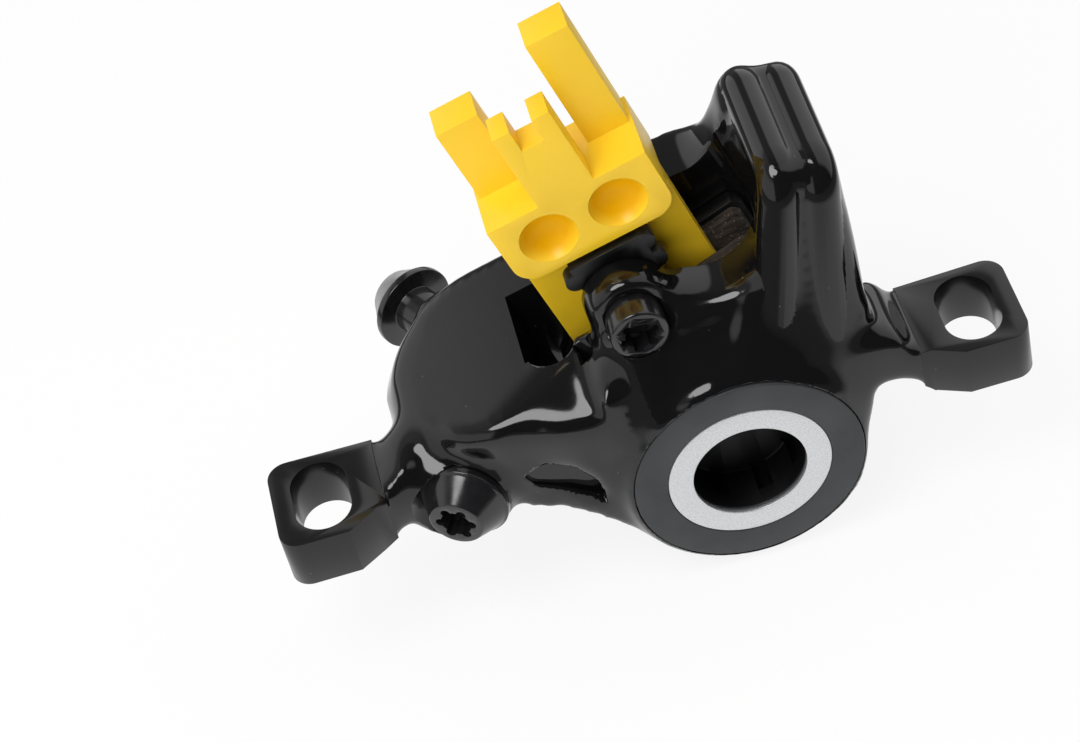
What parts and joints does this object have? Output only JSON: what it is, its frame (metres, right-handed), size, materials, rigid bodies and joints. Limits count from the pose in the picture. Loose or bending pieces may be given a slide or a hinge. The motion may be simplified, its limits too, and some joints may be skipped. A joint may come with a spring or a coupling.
{
  "type": "bicycle disc brake caliper",
  "caption": "Black one-piece bicycle disc brake caliper with slotted post-mount ears, screwed cylinder cap, brake pads and a yellow transport spacer.",
  "frame": {"origin": "midway between the two mounting slots, on the plane of the ears' mounting faces", "axes": "+X along the line of the mounting slots, +Y along the pistons away from the cap, +Z along the mounting bolts, away from the frame"},
  "size_m": [0.0852, 0.0417, 0.068],
  "materials": {
    "body_paint": "gloss black paint on forged aluminium",
    "cap_finish": "matte charcoal anodised",
    "ring_metal": "fine blasted silver",
    "seal_rubber": "matte",
    "screw_black": "black coated",
    "piston_metal": "hard anodised",
    "magnet_metal": "nickel plated",
    "plate_black": "semi-matte black",
    "friction_brown": "rough compound",
    "spacer_yellow": "satin moulded plastic"
  },
  "bodies": {
    "caliper": {"caliper_body": "body_paint", "cylinder_cap": "cap_finish", "cap_ring": "ring_metal", "cap_seal": "seal_rubber", "near_piston_seal": "seal_rubber", "far_piston_seal": "seal_rubber", "pad_screw": "screw_black", "bleed_screw": "screw_black", "bleed_screw_seal": "seal_rubber", "hose_port_plug": "screw_black", "hose_port_seal": "seal_rubber"},
    "near_pad_set": {"near_piston": "piston_metal", "near_piston_magnet": "magnet_metal", "near_pad_plate": "plate_black", "near_pad_friction": "friction_brown"},
    "far_pad_set": {"far_piston": "piston_metal", "far_piston_magnet": "magnet_metal", "far_pad_plate": "plate_black", "far_pad_friction": "friction_brown"},
    "spacer": {"transport_spacer": "spacer_yellow"}
  },
  "joints": [
    {"name": "near_piston_slide", "type": "slide", "parent": "caliper", "child": "near_pad_set", "axis": [0, 1, 0], "range_m": [0, 0.00035], "stiffness_N_per_m": 2000},
    {"name": "far_piston_slide", "type": "slide", "parent": "caliper", "child": "far_pad_set", "axis": [0, -1, 0], "range_m": [0, 0.00035], "stiffness_N_per_m": 2000},
    {"name": "spacer_pull", "type": "slide", "parent": "caliper", "child": "spacer", "axis": [-0.2588, 0, 0.9659], "range_m": [0, 0.045]}
  ],
  "couplings": [
    {"joint": "far_piston_slide", "follows": "near_piston_slide", "ratio": 1}
  ]
}
